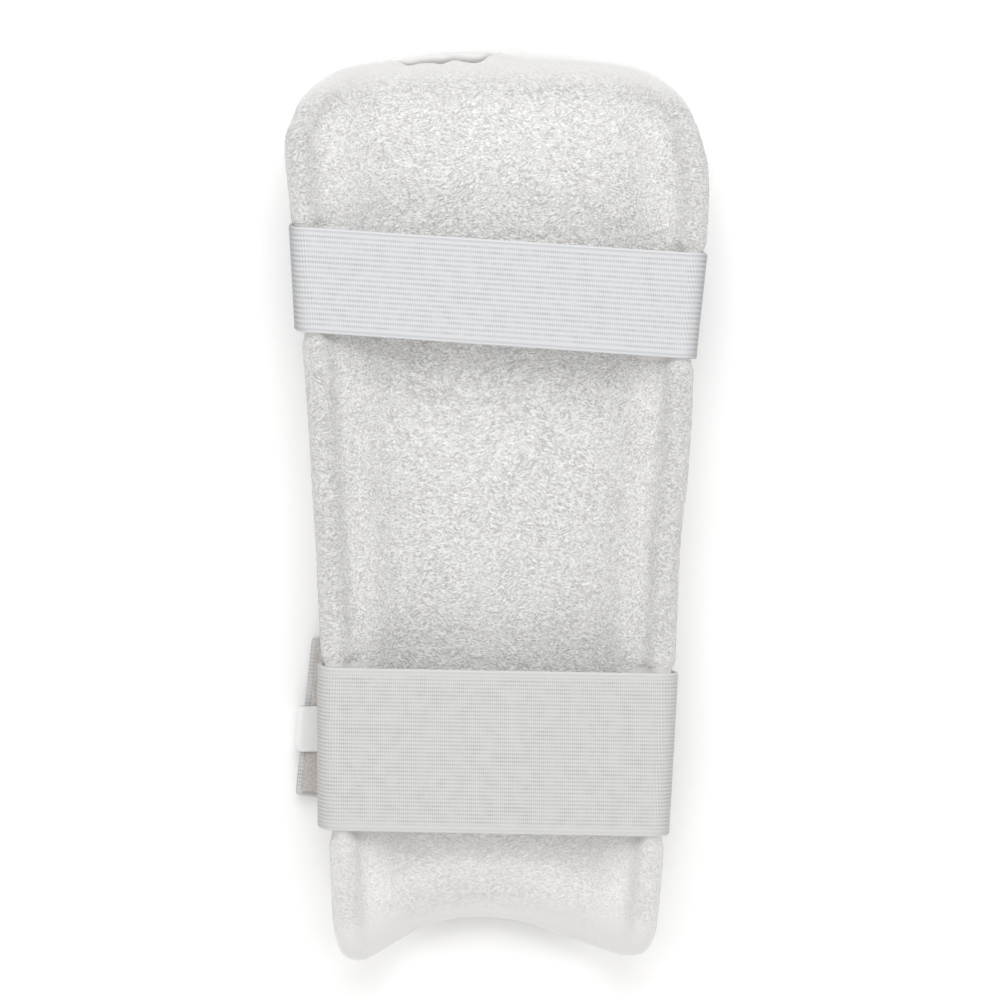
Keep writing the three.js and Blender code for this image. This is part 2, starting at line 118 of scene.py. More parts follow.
# A strap's middle along the guard at both rims and at its end, where it stops across the guard,
# whether a free end follows, and how far its left side stands off the rim and leans up the guard
UPPER_ROUTE = dict(left=0.7472, right=0.7195, end=0.787, stop=UPPER_STRAP_END, tail=False, slack=1.3,
                   lean=1.8)
LOWER_ROUTE = dict(left=0.2348, right=0.2287, end=0.266, stop=TAIL_END, tail=True, slack=2.7, lean=1.2)

# Steps of the side edges and of an even run, how fast the rows come straight beside the edges,
# and the step for the wall's slope
SIDE_STEPS = 12
RUN_SAMPLES = 400
SIDE_PULL = 3
NORMAL_STEP = 0.02
LAST_STEP = 1e-9

# How far the straps' sewn ends lean up the guard on the left wall
LEAN_ON_WALL = 2.5


def smooth(share):
    share = np.clip(share, 0, 1)
    return share * share * (3 - 2 * share)


def eased(value, start, full):
    """0 at the start and 1 where it is full, on either side of it."""
    return smooth((value - start) / (full - start))


def unit(vectors):
    return vectors / np.linalg.norm(vectors, axis=-1, keepdims=True)


def length_at(along):
    return (np.asarray(along, float) - 0.5) * GUARD_LENGTH


def share_at(y):
    return np.asarray(y, float) / GUARD_LENGTH + 0.5


def half_width_at(y):
    return (WRIST_WIDTH + (ELBOW_WIDTH - WRIST_WIDTH) * share_at(y)) / 2


def rise_at(y):
    return WRIST_RISE + (ELBOW_RISE - WRIST_RISE) * share_at(y)


# Outline of the guard


def even_spline(points, count):
    """Points on a smooth open line through points, the same number between each two."""
    padded = np.vstack([points[:1], points, points[-1:]])
    places = np.linspace(0, len(points) - 1 - LAST_STEP, count)
    step = places.astype(int)
    t = (places - step)[:, None]
    p0, p1, p2, p3 = (padded[step + k] for k in range(4))
    v0, v1 = (p2 - p0) / 2, (p3 - p1) / 2
    return (2 * p1 - 2 * p2 + v0 + v1) * t**3 + (3 * p2 - 3 * p1 - 2 * v0 - v1) * t**2 + v0 * t + p1


SIDE_LINE = even_spline(SIDES, RUN_SAMPLES)


def left_edge(y):
    return np.interp(share_at(y), SIDE_LINE[:, 0], SIDE_LINE[:, 1]) * half_width_at(y)


def right_edge(y):
    return np.interp(share_at(y), SIDE_LINE[:, 0], SIDE_LINE[:, 2]) * half_width_at(y)


def closed_curve(points, places):
    """Places, counted in points, on a smooth closed line, with the way that it runs."""
    count = len(points)
    step = np.floor(places).astype(int)
    t = (places - step)[:, None]
    p0, p1, p2, p3 = (points[(step + k) % count] for k in (-1, 0, 1, 2))
    d0, d1, d2 = (np.linalg.norm(b - a, axis=1, keepdims=True) ** 0.5
                  for a, b in ((p0, p1), (p1, p2), (p2, p3)))
    t1 = ((p1 - p0) / d0 - (p2 - p0) / (d0 + d1) + (p2 - p1) / d1) * d1
    t2 = ((p2 - p1) / d1 - (p3 - p1) / (d1 + d2) + (p3 - p2) / d2) * d1
    c2 = -3 * p1 + 3 * p2 - 2 * t1 - t2
    c3 = 2 * p1 - 2 * p2 + t1 + t2
    return p1 + t1 * t + c2 * t**2 + c3 * t**3, t1 + 2 * c2 * t + 3 * c3 * t**2


def outline():
    """The points once round the guard, and the numbers of the grid's four corners."""
    def side(edge, run):
        y = length_at(np.linspace(*run, SIDE_STEPS + 1))
        return np.column_stack([edge(y), y])

    def edge_points(rows):
        y = length_at(rows[:, 1])
        return np.column_stack([rows[:, 0] * half_width_at(y), y])

    parts = [side(right_edge, RIGHT_RUN), edge_points(ELBOW_EDGE),
             side(left_edge, LEFT_RUN), edge_points(WRIST_EDGE)]
    starts = np.cumsum([0] + [len(part) for part in parts])
    marks = [starts[1] + ELBOW_CORNERS[0], starts[1] + ELBOW_CORNERS[1],
             starts[3] + WRIST_CORNERS[0], starts[3] + WRIST_CORNERS[1]]
    return np.vstack(parts), marks


def inset_run(points, start, stop, count):
    """Even steps along a run of the outline, moved in by the rim's radius."""
    place, way = closed_curve(points, np.linspace(start, stop, RUN_SAMPLES))
    way = unit(way)
    place = place + RIM_RADIUS * np.column_stack([-way[:, 1], way[:, 0]])
    reach = np.concatenate([[0], np.cumsum(np.linalg.norm(np.diff(place, axis=0), axis=1))])
    targets = np.linspace(0, reach[-1], count)
    return np.column_stack([np.interp(targets, reach, place[:, k]) for k in range(2)])


# The wall's middle surface


def wall_span(side, y):
    return np.where(side < 0, -left_edge(y), right_edge(y)) - RIM_RADIUS - HALF_BELLY


def fold_at(x, y):
    """How far round the wall a place is: 0 on the guard's middle line, 1 and -1 at the rims."""
    side = np.where(x < 0, -1.0, 1.0)
    past = np.maximum(np.abs(x) - HALF_BELLY, 0) / wall_span(side, y)
    turn = np.arcsin(np.minimum(1, math.sin(WALL_TURN) * past ** (1 / POWER)))
    on_wall = side * (BELLY_FOLD + (1 - BELLY_FOLD) * turn / WALL_TURN)
    return np.where(past > 0, on_wall, x / HALF_BELLY * BELLY_FOLD)


def middle_at(fold, y):
    """The wall bends up from the belly as a part of an ellipse."""
    fold, y = np.broadcast_arrays(np.asarray(fold, float), np.asarray(y, float))
    side = np.where(fold < 0, -1.0, 1.0)
    turn = np.maximum(np.abs(fold) - BELLY_FOLD, 0) / (1 - BELLY_FOLD) * WALL_TURN
    out = (np.sin(turn) / math.sin(WALL_TURN)) ** POWER
    up = (1 - np.cos(turn) ** POWER) / (1 - math.cos(WALL_TURN) ** POWER)
    flat = np.clip(np.abs(fold) / BELLY_FOLD, 0, 1) * HALF_BELLY
    x = side * (flat + wall_span(side, y) * out)
    return np.stack([x, y, BELLY_MIDDLE + rise_at(y) * up], axis=-1)


def inward_at(fold, y):
    across = middle_at(fold + NORMAL_STEP, y) - middle_at(fold - NORMAL_STEP, y)
    along = middle_at(fold, y + 1) - middle_at(fold, y - 1)
    return unit(np.cross(across, along))


def wall_grid(rows, columns):
    """The wall's middle, the way in and the pad's inner half, as grids of rows along the guard."""
    points, (elbow_right, elbow_left, wrist_left, wrist_right) = outline()

    def run(start, stop, count):
        place = inset_run(points, start, stop, count)
        return np.column_stack([fold_at(place[:, 0], place[:, 1]), place[:, 1]])

    elbow = run(elbow_left, elbow_right, columns)
    wrist = run(wrist_left, wrist_right, columns)
    left = run(wrist_left, elbow_left, rows)
    right = run(wrist_right - len(points), elbow_right, rows)
    up = np.linspace(0, 1, rows)[:, None, None]
    over = np.linspace(0, 1, columns)[None, :, None]
    base = wrist[None] * (1 - up) + elbow[None] * up
    left_pull = left[:, None] - base[:, :1]
    right_pull = right[:, None] - base[:, -1:]
    place = base + left_pull * (1 - over) ** SIDE_PULL + right_pull * over**SIDE_PULL
    place = even_columns(place)
    middle = middle_at(place[..., 0], place[..., 1])
    inward = inward_at(place[..., 0], place[..., 1])
    return middle, inward, padding_of(middle)


def even_columns(place):
    """The same rows with their points evenly spaced along the wall."""
    middle = middle_at(place[..., 0], place[..., 1])
    steps = np.linalg.norm(np.diff(middle, axis=1), axis=-1)
    reach = np.concatenate([np.zeros_like(steps[:, :1]), np.cumsum(steps, axis=1)], axis=1)
    spaced = np.empty_like(place)
    for row, (marks, line) in enumerate(zip(reach, place)):
        targets = np.linspace(0, marks[-1], len(marks))
        for part in range(2):
            spaced[row, :, part] = np.interp(targets, marks, line[:, part])
    return spaced


def edge_reach(middle, axis):
    """How far each place of the grid is from the nearer edge, along one axis."""
    steps = np.linalg.norm(np.diff(middle, axis=axis), axis=-1)
    sums = np.cumsum(steps, axis=axis)
    sums = np.concatenate([np.zeros_like(np.take(sums, [0], axis)), sums], axis=axis)
    return np.minimum(sums, np.take(sums, [-1], axis) - sums)


def padding_of(middle):
    """The pad's inner half, thinner towards the rim."""
    share = smooth(edge_reach(middle, 1) / EDGE_TAPER) * smooth(edge_reach(middle, 0) / EDGE_TAPER)
    return EDGE_HALF + (INNER_PAD - EDGE_HALF) * share


def rim_index(rows, columns):
    """Grid places once round the rim."""
    loop = [(0, i) for i in range(columns - 1)]
    loop += [(j, columns - 1) for j in range(rows - 1)]
    loop += [(rows - 1, i) for i in range(columns - 1, 0, -1)]
    loop += [(j, 0) for j in range(rows - 1, 0, -1)]
    return np.array(loop)


# Mesh building

PATCH_MIDDLE = sum(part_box("lower_loop_patch"), Vector()) / 2 / MM


def return_y(route, x):
    """Under the guard a strap's middle runs straight from the right rim to its end."""
    rim_x = right_edge(length_at(route["right"])) + STRAP_GAP
    share = (rim_x - x) / (rim_x - route["stop"])
    return length_at(route["right"] + (route["end"] - route["right"]) * share)


SHIFT = np.array([PATCH_MIDDLE.x, PATCH_MIDDLE.y - float(return_y(LOWER_ROUTE, 0.0)), 0])


class Shell:
    """Collects points, with a value of each name for each, and the faces between them."""

    def __init__(self, *names):
        self.points = []
        self.values = {name: [] for name in names}
        self.count = 0
        self.faces = []

    def add(self, points, **values):
        points = np.asarray(points, float)
        index = self.count + np.arange(points[..., 0].size).reshape(points.shape[:-1])
        self.points.append(points.reshape(-1, 3))
        self.count += index.size
        for name, parts in self.values.items():
            parts.append(np.broadcast_to(values[name], index.shape).ravel())
        return index

    def grid(self, index, flip=False):
        corners = [index[:-1, :-1], index[:-1, 1:], index[1:, 1:], index[1:, :-1]]
        quads = np.stack(corners, axis=-1).reshape(-1, 4)
        self.faces += (quads[:, ::-1] if flip else quads).tolist()

    def ring(self, first, second):
        """Joins two closed rings."""
        quads = np.stack([first, np.roll(first, -1), np.roll(second, -1), second], axis=-1)
        self.faces += quads.tolist()

    def next_ring(self, points, previous, **values):
        """Adds a closed ring and joins it to the one before."""
        current = self.add(points, **values)
        self.ring(current, previous)
        return current

    def piece(self, name):
        mesh = bpy.data.meshes.new(name)
        points = (np.vstack(self.points) + SHIFT) * MM
        mesh.from_pydata(points.tolist(), [], self.faces)
        mesh.validate()
        mesh.shade_smooth()
        for value, parts in self.values.items():
            layer = mesh.attributes.new(value, "FLOAT", "POINT")
            layer.data.foreach_set("value", np.concatenate(parts).astype(np.float32))
        obj = bpy.data.objects.new(name, mesh)
        bpy.context.scene.collection.objects.link(obj)
        return obj


def rim_ways(middle, inward, loop):
    """The wall's middle once round the rim, the way in and the way out past the edge."""
    centre = middle[loop[:, 0], loop[:, 1]]
    way_in = inward[loop[:, 0], loop[:, 1]]
    along = np.roll(centre, -1, axis=0) - np.roll(centre, 1, axis=0)
    return centre, way_in, unit(np.cross(along, way_in))


def roll_point(centre, way_in, outward, degrees, radius, push=0.0):
    """A place on the roll round the rim: 90 degrees faces in, 0 faces out along the wall."""
    turn = np.radians(np.broadcast_to(degrees, len(centre)))[:, None]
    radius = np.broadcast_to(radius, len(centre))[:, None]
    push = np.broadcast_to(push, len(centre))[:, None] * np.maximum(np.cos(turn), 0)
    return centre + (np.cos(turn) * radius + push) * outward + np.sin(turn) * radius * way_in


# The lip of facing that comes over the elbow edge: where it and its bulge start, are full, ease and
# stop across the guard, how far it rises, and how the towelling's end waves along it

LIP = (-38.0, -27.0, -5.0, 7.0)
LIP_BULGE = (-33.0, -14.0, -4.0, 11.0)
LIP_RISE = 1.9
LIP_SEAM = 66
ELBOW_FROM = 0.9
ELBOW_FULL = 0.94
SEAM_WAVE = 5.0
SEAM_WAVE_TURN = 15

# How the straps press the rim
SQUEEZE = 1.2
SQUEEZE_SPREAD = 4.0
FLAT_SPREAD = 1.5
RIM_GAP = 0.1
PRESS_START = 40
STRAP_TURN = 122


def window(x, start, full, ease, stop):
    """0 outside start and stop, 1 between full and ease."""
    return eased(x, start, full) * eased(x, stop, ease)


def at_elbow(centre):
    return eased(share_at(centre[:, 1]), ELBOW_FROM, ELBOW_FULL)


def lip_share(centre):
    return window(centre[:, 0], *LIP) * at_elbow(centre)


def seam_angle(centre):
    """Where the towelling ends on the roll: on the outer side, but over the top at the lip."""
    wave = np.array([noise.noise(Vector((x / SEAM_WAVE, 0, 0))) for x in centre[:, 0]])
    return -TURN_IN + (TURN_IN + LIP_SEAM + SEAM_WAVE_TURN * wave) * lip_share(centre)


def lip_bulge(centre):
    return LIP_RISE * window(centre[:, 0], *LIP_BULGE) * at_elbow(centre)


def under_strap(points, spread):
    """1 under a strap, easing to 0 over the spread beside it."""
    left = points[..., 0] < 0
    total = np.zeros(points.shape[:-1])
    for route, width in ((UPPER_ROUTE, UPPER_STRAP_WIDTH), (LOWER_ROUTE, LOWER_STRAP_WIDTH)):
        middle = np.where(left, length_at(route["left"]), length_at(route["right"]))
        past = np.abs(points[..., 1] - middle) - width / 2
        total = np.maximum(total, 1 - smooth(past / spread))
    return np.where(np.abs(points[..., 0]) > HALF_BELLY, total, 0)


def squeeze_at(centre, degrees):
    """How far a strap presses the rolled rim in."""
    return SQUEEZE * under_strap(centre, SQUEEZE_SPREAD) * smooth((np.asarray(degrees) + 90) / PRESS_START)


# Terry pile: short tufts that lean in patches, flatter along both ends of the guard

TUFT = (1.6, 1.05)
LEANS = (-24, 4, 30)
LEAN_WAYS = [(math.cos(math.radians(lean)), math.sin(math.radians(lean))) for lean in LEANS]
LEAN_SHIFT = 7.3
LEAN_PATCH = 11.0
PATCH_SPREAD = 1.6
PILE_HEIGHT = 0.32

# Broad, faint waves of the whole lining
WAVE = (34.0, 26.0, 30.0)
WAVE_HEIGHT = 0.25

# The pile is pressed flat near both bowed end edges and under the straps, and worn at the wrist
FLAT_PILE = (2.0, 11.0)
LEAST_PILE = 0.12
CORNERS_ACROSS = 60
ELBOW_BOW = 9
WRIST_BOW = 10
WORN = 0.45
WORN_FROM = -72
WORN_FULL = -87
STRAP_PRESS = 0.9
HIGH_WALL = (10, 15)

# Painted shade on the towelling: full on the rim, which rolls away from the light; little on the walls, so
# that they look lighter than their shade; more again on the belly, but less towards the elbow end and the
# wrist, where that lightens the shadows below the straps
SIDE_ROLL_REACH = 6
END_ROLL_REACH = 15
WALL_SHARE = 0.05
BELLY_SHARE = 0.5
BELLY_REACH = (5.0, 18.0)
BELLY_ALONG = (-105.0, -70.0, 0.0, 50.0)


def tuft(x, y, z, lean):
    cosine, sine = LEAN_WAYS[lean]
    along = (x * cosine + y * sine) / TUFT[0]
    across = (y * cosine - x * sine) / TUFT[1]
    return noise.noise(Vector((along, across, z / TUFT[0] + LEAN_SHIFT * lean)))


def pile_height(point):
    """How far the pile stands out at a point, in millimetres."""
    x, y, z = point
    patch = 1 + PATCH_SPREAD * noise.noise(Vector((x / LEAN_PATCH, y / LEAN_PATCH, z / LEAN_PATCH)))
    low = 0 if patch < 1 else 1
    share = min(1.0, max(0.0, patch - low))
    height = (1 - share) * tuft(x, y, z, low) + share * tuft(x, y, z, low + 1)
    return PILE_HEIGHT * height


def wave_height(point):
    x, y, z = point
    return WAVE_HEIGHT * noise.noise(Vector((x / WAVE[0], y / WAVE[1], z / WAVE[2])))


def pile_share(points):
    """1 where the pile stands free, least where the end edges or the straps press it flat."""
    x, y, z = points[..., 0], points[..., 1], points[..., 2]
    over = np.clip(np.abs(x) / CORNERS_ACROSS, 0, 1)
    from_elbow = GUARD_LENGTH / 2 - y - ELBOW_BOW * over**3
    from_wrist = y + GUARD_LENGTH / 2 - WRIST_BOW * (1 - over**2)
    free = LEAST_PILE + (1 - LEAST_PILE) * eased(np.minimum(from_elbow, from_wrist), *FLAT_PILE)
    worn = WORN * eased(y, WORN_FROM, WORN_FULL)
    high = eased(z - BELLY_MIDDLE - RIM_RADIUS, *HIGH_WALL)
    pressed = STRAP_PRESS * under_strap(points, FLAT_SPREAD) * high
    return free * (1 - worn) * (1 - pressed)


def with_pile(points, ways):
    """The points moved out by the pile and the broad waves."""
    flat = points.reshape(-1, 3)
    pile = np.array([pile_height(point) for point in flat]).reshape(points.shape[:-1])
    wave = np.array([wave_height(point) for point in flat]).reshape(points.shape[:-1])
    return points + ways * (pile * pile_share(points) + wave)[..., None]


TOWEL_ROWS = 390
TOWEL_COLUMNS = 195
COARSE = 5
ROLL_RINGS = 8
UNDER_STEPS = (1, 0.5, 0)


def towel_lining():
    """The pile inside and round the rim, then back under the roll to a coarse hidden face."""
    middle, inward, padding = wall_grid(TOWEL_ROWS + 1, TOWEL_COLUMNS + 1)
    loop = rim_index(TOWEL_ROWS + 1, TOWEL_COLUMNS + 1)
    centre, way_in, outward = rim_ways(middle, inward, loop)
    turn = seam_angle(centre) - 90
    push = lip_bulge(centre)
    lift = padding + SEWN_GAP + TOWEL_WALL - press_grid(middle)
    top = with_pile(middle + inward * lift[..., None], inward)
    shell = Shell("pile", "rolled")
    index = shell.add(top, pile=pile_share(top), rolled=painted_shade_share(middle))
    shell.grid(index)
    ring = index[loop[:, 0], loop[:, 1]]
    for step in np.linspace(0, 1, ROLL_RINGS + 1)[1:]:
        angle = 90 + turn * step
        points = roll_point(centre, way_in, outward, angle, RIM_RADIUS - squeeze_at(centre, angle), push)
        points = with_pile(points, unit(points - centre))
        ring = shell.next_ring(points, ring, pile=pile_share(points), rolled=1)
    for step in UNDER_STEPS:
        points = roll_point(centre, way_in, outward, 90 + turn * step, EDGE_HALF + SEWN_GAP)
        ring = shell.next_ring(points, ring, pile=pile_share(points), rolled=1)
    under = middle + inward * (padding + SEWN_GAP)[..., None]
    under = under[COARSE:-COARSE:COARSE, COARSE:-COARSE:COARSE]
    inner = shell.add(under, pile=pile_share(under), rolled=0)
    shell.grid(inner, flip=True)
    back_edge(shell, ring, inner, loop)
    return shell.piece("towelling")


# Share of the painted shade at each place: darkest where the rim rolls away from the light
def painted_shade_share(middle):
    side = edge_reach(middle, 1)
    rim = 1 - smooth(side / SIDE_ROLL_REACH) * smooth(edge_reach(middle, 0) / END_ROLL_REACH)
    belly = eased(side, *BELLY_REACH) * window(middle[..., 1], *BELLY_ALONG)
    low = WALL_SHARE + (BELLY_SHARE - WALL_SHARE) * belly
    return low + (1 - low) * rim


def press_grid(middle):
    """The straps' press on the rim, fading over the top of the wall."""
    return squeeze_at(middle, 90) * (1 - smooth(edge_reach(middle, 1) / EDGE_TAPER * 2))


def back_edge(shell, ring, inner, loop):
    """Faces between the fine ring and the coarse grid inside it."""
    rows, columns = TOWEL_ROWS, TOWEL_COLUMNS
    last_j, last_i = inner.shape[0] - 1, inner.shape[1] - 1
    place = {tuple(pair): int(ring[k]) for k, pair in enumerate(loop.tolist())}

    def fine(start, stop):
        (j0, i0), (j1, i1) = start, stop
        count = max(abs(j1 - j0), abs(i1 - i0))
        return [place[(j0 + (j1 - j0) * k // count, i0 + (i1 - i0) * k // count)] for k in range(count + 1)]

    def side(start, stop, *inner_places):
        shell.faces.append(fine(start, stop) + [int(inner[place_in]) for place_in in inner_places])

    def corner(start, turn, stop, inner_place):
        shell.faces.append(fine(start, turn) + fine(turn, stop)[1:] + [int(inner[inner_place])])

    for i in range(last_i):
        low, high = COARSE * (i + 1), COARSE * (i + 2)
        side((0, high), (0, low), (0, i), (0, i + 1))
        side((rows, low), (rows, high), (last_j, i + 1), (last_j, i))
    for j in range(last_j):
        low, high = COARSE * (j + 1), COARSE * (j + 2)
        side((low, 0), (high, 0), (j + 1, 0), (j, 0))
        side((high, columns), (low, columns), (j, last_i), (j + 1, last_i))
    far_j, far_i = rows - COARSE, columns - COARSE
    corner((0, COARSE), (0, 0), (COARSE, 0), (0, 0))
    corner((COARSE, columns), (0, columns), (0, far_i), (0, last_i))
    corner((rows, far_i), (rows, columns), (far_j, columns), (last_j, last_i))
    corner((far_j, 0), (rows, 0), (rows, COARSE), (last_j, 0))


# Outer facing: smooth coated cover, puffed a little over the foam

FACING_ROWS = 150
FACING_COLUMNS = 90
EDGE_RINGS = 5
FACING_RINGS = 14
LAST_RING = 0.95
SEAM_DIP = 0.7
SEAM_DIP_REACH = 5
SEAM_GROOVE = 1.7
GROOVE_WIDTH = 1 / 6
LIP_FILL = 0.6


def facing():
    """The foam's inner face and edge, then the cover from its groove at the seam round the outside."""
    middle, inward, padding = wall_grid(FACING_ROWS + 1, FACING_COLUMNS + 1)
    loop = rim_index(FACING_ROWS + 1, FACING_COLUMNS + 1)
    centre, way_in, outward = rim_ways(middle, inward, loop)
    seam = seam_angle(centre) - SEAM_OPEN
    push = lip_bulge(centre)
    # The groove value marks the seam's groove, which the material darkens with painted shade
    shell = Shell("groove")
    top = shell.add(middle + inward * padding[..., None], groove=0)
    shell.grid(top)
    ring = top[loop[:, 0], loop[:, 1]]
    for step in np.linspace(0, 1, EDGE_RINGS + 1)[1:]:
        points = roll_point(centre, way_in, outward, 90 + (seam - 90) * step, EDGE_HALF)
        ring = shell.next_ring(points, ring, groove=1)
    for step in np.linspace(0, LAST_RING, FACING_RINGS):
        angle = seam + (-90 - seam) * step
        groove = 1 - smooth(step / GROOVE_WIDTH)
        sunk = SEAM_DIP * (1 - LIP_FILL * lip_share(centre)) + SEAM_GROOVE * groove
        radius = RIM_RADIUS - sunk - squeeze_at(centre, angle)
        points = roll_point(centre, way_in, outward, angle, radius, push)
        ring = shell.next_ring(points, ring, groove=groove)
    reach = np.minimum(edge_reach(middle, 0), edge_reach(middle, 1))
    dip = SEAM_DIP * (1 - smooth(reach / SEAM_DIP_REACH))
    bottom = shell.add(middle - inward * (RIM_RADIUS - dip)[..., None], groove=0)
    shell.grid(bottom, flip=True)
    shell.ring(bottom[loop[:, 0], loop[:, 1]], ring)
    return shell.piece("outer_facing")


# Straps: about how long each stretch is, for its steps, and how the left side's slack is spread

STRETCHES = dict(sewn=22, rim=9, opening=96, wall=46, belly=48, tail=34)
ELASTIC_STEP = 1.3
SLACK_ACROSS = 0.8
SLACK_ROUND = 0.4


def outward_at(fold, y):
    way = -inward_at(fold, y)
    way[..., 1] = 0
    return unit(way)


def wall_stations(folds, y, clearance):
    way = outward_at(folds, y)
    return middle_at(folds, y) + way * (RIM_RADIUS + clearance)[..., None], way


def rim_stations(side, y, count, slack, lean):
    """Round the pressed rim, from the wall up to where the strap leaves for the other side."""
    fold = np.full_like(y, side)
    centre = middle_at(fold, y)
    start = outward_at(fold, y)
    first = np.arctan2(start[..., 2], start[..., 0] * side)
    part = np.linspace(0, 1, count)[None, :]
    turn = first + (math.pi / 2 - first) * part
    way = np.stack([np.cos(turn) * side, np.zeros_like(turn), np.sin(turn)], axis=-1)
    pressed = (SQUEEZE + STRAP_GAP - RIM_GAP) * smooth(part * STRAP_TURN / PRESS_START)
    points = centre + way * (RIM_RADIUS + STRAP_GAP - pressed)[..., None]
    points[..., 0] += side * slack * (1 - part) ** SLACK_ROUND
    points[..., 1] += lean * (1 - part) ** 2
    return points, way


def sewn_stations(route, y, slack, count):
    """Up the left wall from the sewn end, standing off it more and more towards the rim."""
    part = np.linspace(0, 1, count)[None, :]
    folds, y = np.broadcast_arrays(-(FIXED_END_FOLD + (1 - FIXED_END_FOLD) * part), y)
    points, ways = wall_stations(folds, y, STRAP_GAP + slack * part)
    points[..., 1] += route["lean"] + LEAN_ON_WALL * (1 - part)
    return points, ways


def opening_stations(left, right, count):
    """Straight over the opening, from rim to rim."""
    share = np.linspace(0, 1, count)[None, :, None]
    points = left[:, -1:] * (1 - share) + right[:, :1] * share
    ways = np.zeros_like(points)
    ways[..., 2] = 1
    return points, ways


def return_stations(route, shift, count):
    """Down the right wall to the belly, leaving room for the tapes there."""
    falls = np.linspace(0, 1, count)[None, :]
    folds = 1 + (BELLY_FOLD - 1) * falls
    x = middle_at(folds, length_at(route["right"]))[..., 0]
    y = return_y(route, x) + shift
    clearance = STRAP_GAP + (FASTENING - STRAP_GAP) * smooth(np.broadcast_to(falls, y.shape))
    return wall_stations(np.broadcast_to(folds, y.shape), y, clearance)


def joined(parts):
    """Stretches as one, each after the first without the station that it shares."""
    parts = parts[:1] + [(points[:, 1:], ways[:, 1:]) for points, ways in parts[1:]]
    return [np.concatenate(rows, axis=1) for rows in zip(*parts)]


def strap_line(route, width, over):
    """A strap's inner face and the way off the guard: one row for each place across its width."""
    shift = (over * width / 2)[:, None]
    y_left = length_at(route["left"]) + shift
    y_right = length_at(route["right"]) + shift
    slack = route["slack"] * (((1 - over) / 2) ** SLACK_ACROSS)[:, None]
    steps = {stretch: int(length / ELASTIC_STEP) for stretch, length in STRETCHES.items()}
    left = rim_stations(-1.0, y_left, steps["rim"], slack, route["lean"])
    right = rim_stations(1.0, y_right, steps["rim"], 0.0, 0.0)
    right = [rows[:, ::-1] for rows in right]
    stop = -HALF_BELLY if route["tail"] else route["stop"]
    parts = [sewn_stations(route, y_left, slack, steps["sewn"]), left,
             opening_stations(left[0], right[0], steps["opening"]), right,
             return_stations(route, shift, steps["wall"]),
             flat_stations(route, np.linspace(HALF_BELLY, stop, steps["belly"]), shift)]
    if route["tail"]:
        parts.append(tail_stations(route, shift, 0, steps["tail"]))
    return joined(parts)


def flat_stations(route, x, shift):
    y = return_y(route, x)[None, :] + shift
    points = np.stack([np.broadcast_to(x, y.shape), y, np.full_like(y, STRAP_WALL)], axis=-1)
    ways = np.zeros_like(points)
    ways[..., 2] = -1
    return points, ways


TAIL_CORNER = 1.6
TAIL_WAY = np.array([-TAIL_LIFT, 0, TAIL_END + HALF_BELLY]) / math.hypot(TAIL_LIFT, TAIL_END + HALF_BELLY)


def tail_stations(route, shift, hem, count):
    """From the belly's left edge to a hem's width before the free end."""
    start = flat_stations(route, np.array([-HALF_BELLY]), shift)[0]
    past = np.clip(np.abs(shift) - LOWER_ELASTIC_WIDTH / 2 + TAIL_CORNER, 0, TAIL_CORNER)
    rounding = TAIL_CORNER - np.sqrt(np.maximum(TAIL_CORNER**2 - past**2, 0))
    tip_x = route["stop"] + math.tan(TAIL_SLANT) * shift + rounding
    tip_y = return_y(route, route["stop"]) + shift
    tip = np.stack([tip_x, tip_y, np.full_like(tip_x, STRAP_WALL + TAIL_LIFT)], axis=-1)
    tip = tip - unit(tip - start) * hem
    share = np.linspace(0, 1, count)[None, :, None]
    points = start * (1 - share) + tip * share
    return points, np.broadcast_to(TAIL_WAY, points.shape)


def reach_along(points):
    steps = np.linalg.norm(np.diff(points, axis=-2), axis=-1)
    return np.concatenate([np.zeros_like(steps[..., :1]), np.cumsum(steps, axis=-1)], axis=-1)


def border(index):
    """The places once round a grid."""
    return np.concatenate([index[0], index[1:, -1], index[-1, -2::-1], index[-2:0:-1, 0]])


def band(name, points, ways, inner, outer, across):
    """A band between two distances off a line of stations, with its place in the weave as UV."""
    shape = points.shape[:2]
    bent = 1 - np.abs(ways[..., 2])
    shell = Shell("bent")
    near = shell.add(points + ways * np.broadcast_to(inner, shape)[..., None], bent=bent)
    far = shell.add(points + ways * np.broadcast_to(outer, shape)[..., None], bent=bent)
    shell.grid(far)
    shell.grid(near, flip=True)
    shell.ring(border(near), border(far))
    obj = shell.piece(name)
    place = np.column_stack([reach_along(points).ravel(), np.repeat(across, shape[1])])
    add_uv(obj, np.vstack([place, place]))
    return obj


def add_uv(obj, places):
    layer = obj.data.uv_layers.new(name="weave")
    corners = np.zeros(len(obj.data.loops), dtype=np.int32)
    obj.data.loops.foreach_get("vertex_index", corners)
    layer.data.foreach_set("uv", (places[corners] * MM).astype(np.float32).ravel())


UPPER_RIB = 1.56
LOWER_RIB = 1.15
RIB_HEIGHT = 0.08
RIB_POINTS = 5
SELVEDGE = 2.4
SELVEDGE_POINTS = 14
RIBS_FROM = 0.6
EDGE_ROUND = 0.5
EDGE_DROP = 0.35


def elastic(name, route, width, rib):
    """A woven elastic strap with its ribs as relief and a plain selvedge on both edges."""
    ribs = int((width - 2 * SELVEDGE) / rib)
    over = np.linspace(-1, 1, ribs * RIB_POINTS + SELVEDGE_POINTS)
    points, ways = strap_line(route, width, over)
    across = over * width / 2
    from_edge = width / 2 - np.abs(across)
    ridge = np.cos(2 * np.pi * across / rib) * 0.5 - 0.5
    relief = RIB_HEIGHT * ridge * eased(from_edge, RIBS_FROM * SELVEDGE, SELVEDGE)
    relief = relief + EDGE_DROP * (smooth(from_edge / EDGE_ROUND) - 1)
    return band(name, points, ways, 0.0, STRAP_WALL + relief[:, None], across)


HOOK_ROWS = 90
HOOK_BELLY_STEPS = 60
HOOK_TAIL_STEPS = 46
HOOK_SEED = 7
HOOK_ROUGHNESS = 0.18
HEM_OVERLAP = 0.5


